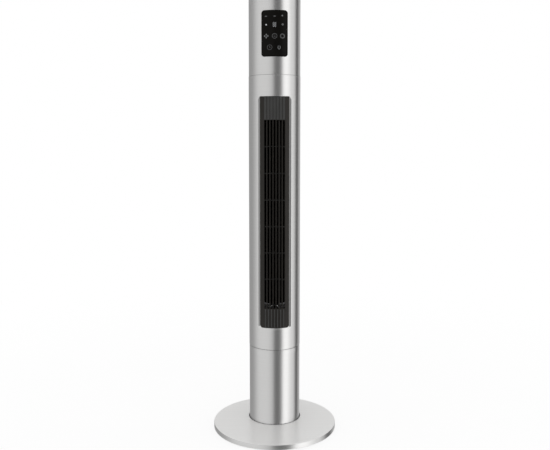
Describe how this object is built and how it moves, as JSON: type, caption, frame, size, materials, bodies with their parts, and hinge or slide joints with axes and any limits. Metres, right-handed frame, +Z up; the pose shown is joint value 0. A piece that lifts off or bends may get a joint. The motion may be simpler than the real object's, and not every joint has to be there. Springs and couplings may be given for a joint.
{
  "type": "tower fan",
  "caption": "Slim round tower fan: a brushed steel column with a black slatted air outlet and a touch panel, which swings on a flat round steel foot.",
  "frame": {"origin": "middle of the round foot, on the floor", "axes": "+Z up along the column, the air outlet and the control panel face -Y, +X to the right of someone who faces the outlet"},
  "size_m": [0.276, 0.276, 0.96],
  "materials": {
    "brushed_steel": "fine brushed, satin",
    "screw_steel": "zinc plated",
    "cast_iron": "raw casting",
    "plate_steel": "thin grey coat",
    "rubber": "matte",
    "black_plastic": "fine matte texture",
    "pale_plastic": "moulded",
    "motor_shell": "plain",
    "bearing_bronze": "sintered",
    "panel_gloss": "high gloss",
    "display_black": "gloss",
    "circuit_board": "lacquered"
  },
  "bodies": {
    "base": {"base_cover": "brushed_steel", "ballast_plate": "cast_iron", "base_pan": "plate_steel", "rubber_feet": "rubber", "pan_screws": "screw_steel", "cord_gland": "rubber", "swivel_post": "black_plastic", "post_screws": "screw_steel", "slide_ring": "pale_plastic", "swing_gear": "pale_plastic", "post_clip": "screw_steel"},
    "column": {"stand_tube": "brushed_steel", "housing_sleeve": "brushed_steel", "head_tube": "brushed_steel", "top_cap": "brushed_steel", "turntable_screws": "screw_steel", "swing_motor_screws": "screw_steel", "joint_screws": "screw_steel", "head_screws": "screw_steel", "cap_screws": "screw_steel", "grille_screws": "screw_steel", "intake_screws": "screw_steel", "motor_screws": "screw_steel", "board_screws": "screw_steel", "power_board_screws": "screw_steel", "touch_springs": "screw_steel", "motor_plate": "plate_steel", "motor_bushes": "rubber", "bearing_cup": "rubber", "bearing_plate": "black_plastic", "volute_wall": "black_plastic", "tongue_wall": "black_plastic", "board_chassis": "black_plastic", "outlet_grille": "black_plastic", "intake_grille": "black_plastic", "joint_collar": "black_plastic", "head_collar": "black_plastic", "turntable": "black_plastic", "panel_carrier": "black_plastic", "fan_motor": "motor_shell", "swing_motor": "motor_shell", "top_bearing": "bearing_bronze", "control_panel": "panel_gloss", "display_module": "display_black", "power_components": "display_black", "control_board": "circuit_board", "power_board": "circuit_board"},
    "impeller": {"impeller": "black_plastic", "motor_shaft": "screw_steel", "stub_shaft": "screw_steel", "set_screw": "screw_steel"},
    "pinion": {"swing_pinion": "pale_plastic", "pinion_shaft": "screw_steel"}
  },
  "joints": [
    {"name": "column_swing", "type": "hinge", "parent": "base", "child": "column", "pos_m": [0, 0.027, 0], "axis": [0, 0, 1], "range_deg": [-35, 35]},
    {"name": "impeller_spin", "type": "hinge", "parent": "column", "child": "impeller", "pos_m": [0, 0.033, 0.48], "axis": [0, 0, 1], "continuous": true},
    {"name": "pinion_spin", "type": "hinge", "parent": "column", "child": "pinion", "pos_m": [0.03, 0.027, 0.035], "axis": [0, 0, 1], "range_deg": [-90, 90]}
  ],
  "couplings": [
    {"joint": "pinion_spin", "follows": "column_swing", "ratio": 2.3333}
  ]
}
